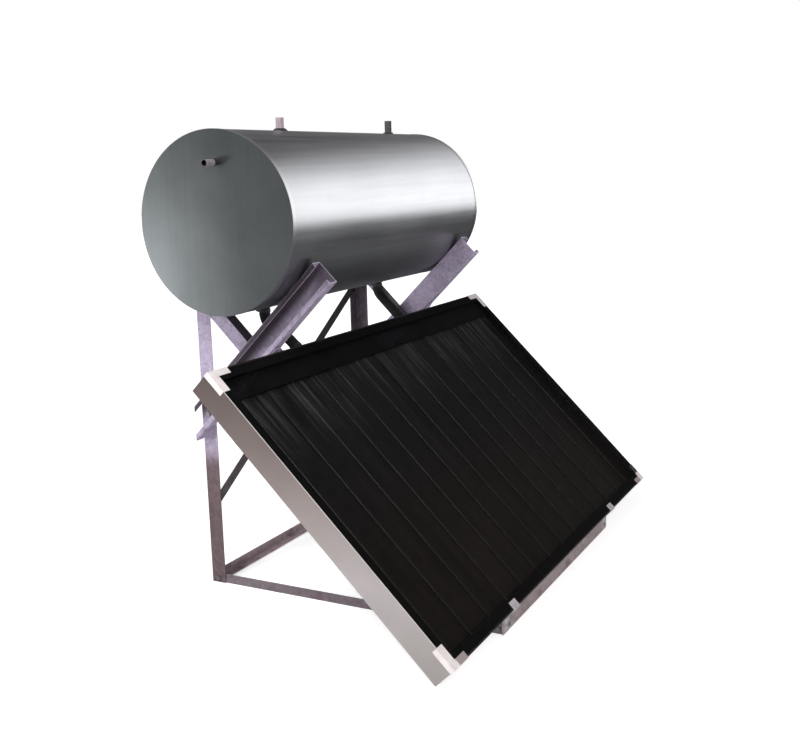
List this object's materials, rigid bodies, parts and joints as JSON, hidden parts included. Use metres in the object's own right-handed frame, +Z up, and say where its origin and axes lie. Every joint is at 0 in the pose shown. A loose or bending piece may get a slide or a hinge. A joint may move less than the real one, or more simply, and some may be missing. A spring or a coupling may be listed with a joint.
{
  "type": "thermosiphon solar water heater",
  "caption": "Tilted glazed flat-plate collector joined by short hoses to a horizontal insulated cylindrical tank above it, all on a bolted galvanised angle-steel stand.",
  "frame": {"origin": "on the ground, under the middle of the bounding box", "axes": "+Z up, +X along the tank from the end with the pipe stub towards the plain end, +Y from the collector towards the back of the stand"},
  "size_m": [1.8024, 1.1214, 1.475],
  "materials": {
    "galvanised_frame": "hot-dip galvanised, mottled spangle",
    "galvanised_base": "hot-dip galvanised, dull and slightly dirty",
    "hook_steel": "galvanised strip, bent cold",
    "zinc_fasteners": "bright zinc plated",
    "casing_aluminium": "mill finish extrusion, satin",
    "bead_black": "black powder coat, satin",
    "cap_light": "off-white enamel, slightly worn",
    "glass": "tempered low-iron glass, clear",
    "seal_rubber": "black EPDM",
    "header_black": "black paint, semi-gloss",
    "absorber_black": "dark selective coating, satin",
    "copper_pipe": "drawn copper, brazed",
    "mineral_wool": "pressed mineral wool board",
    "back_aluminium": "stucco embossed sheet",
    "jacket_steel": "bright rolled sheet, fine lengthwise grain",
    "cover_steel": "satin pressed sheet",
    "rigid_foam": "injected rigid foam",
    "vessel_steel": "pickled stainless sheet",
    "pipe_bright": "turned steel, bright",
    "pipe_dark": "dark grey oxide",
    "collar_rubber": "black EPDM, matte",
    "anode_metal": "cast magnesium",
    "hose_rubber": "matte black EPDM, fabric reinforced",
    "clamp_steel": "black coated steel band"
  },
  "bodies": {
    "root": {"absorber_fins": "absorber_black", "anode": "anode_metal", "back_sheet": "back_aluminium", "base_rear_bar": "galvanised_base", "base_side_bar_left": "galvanised_base", "base_side_bar_right": "galvanised_base", "bottom_port_left": "pipe_dark", "bottom_port_right": "pipe_dark", "casing_rail_bottom": "casing_aluminium", "casing_rail_left": "casing_aluminium", "casing_rail_right": "casing_aluminium", "casing_rail_top": "casing_aluminium", "cold_port": "copper_pipe", "collector_hooks": "hook_steel", "collector_standoffs": "galvanised_frame", "corner_caps": "cap_light", "corner_cleats": "galvanised_base", "cradle_spacers": "galvanised_frame", "cross_brace": "galvanised_frame", "downcomer": "copper_pipe", "end_nipple": "pipe_bright", "foam_plug_left": "rigid_foam", "foam_plug_right": "rigid_foam", "foam_sleeve": "rigid_foam", "frame_bolts": "zinc_fasteners", "frame_nuts": "zinc_fasteners", "front_arm_left": "galvanised_frame", "front_arm_right": "galvanised_frame", "front_rail": "galvanised_base", "glass_cover": "glass", "glass_seal": "seal_rubber", "glazing_bead_bottom": "bead_black", "glazing_bead_left": "bead_black", "glazing_bead_right": "bead_black", "glazing_bead_top": "bead_black", "header_cover": "header_black", "header_tube_bottom": "copper_pipe", "header_tube_top": "copper_pipe", "hose_clamps": "clamp_steel", "hose_left": "hose_rubber", "hose_right": "hose_rubber", "hot_outlet_nipple": "pipe_bright", "hot_port": "copper_pipe", "insulation_board": "mineral_wool", "pipe_collars": "collar_rubber", "port_grommets": "seal_rubber", "rear_arm_left": "galvanised_frame", "rear_arm_right": "galvanised_frame", "rear_leg_left": "galvanised_frame", "rear_leg_right": "galvanised_frame", "riser_tubes": "copper_pipe", "tank_bolts": "zinc_fasteners", "tank_bosses": "vessel_steel", "tank_cover_left": "cover_steel", "tank_cover_right": "cover_steel", "tank_jacket": "jacket_steel", "vent_nipple": "pipe_dark", "vessel_head_left": "vessel_steel", "vessel_head_right": "vessel_steel", "vessel_shell": "vessel_steel"}
  },
  "joints": []
}
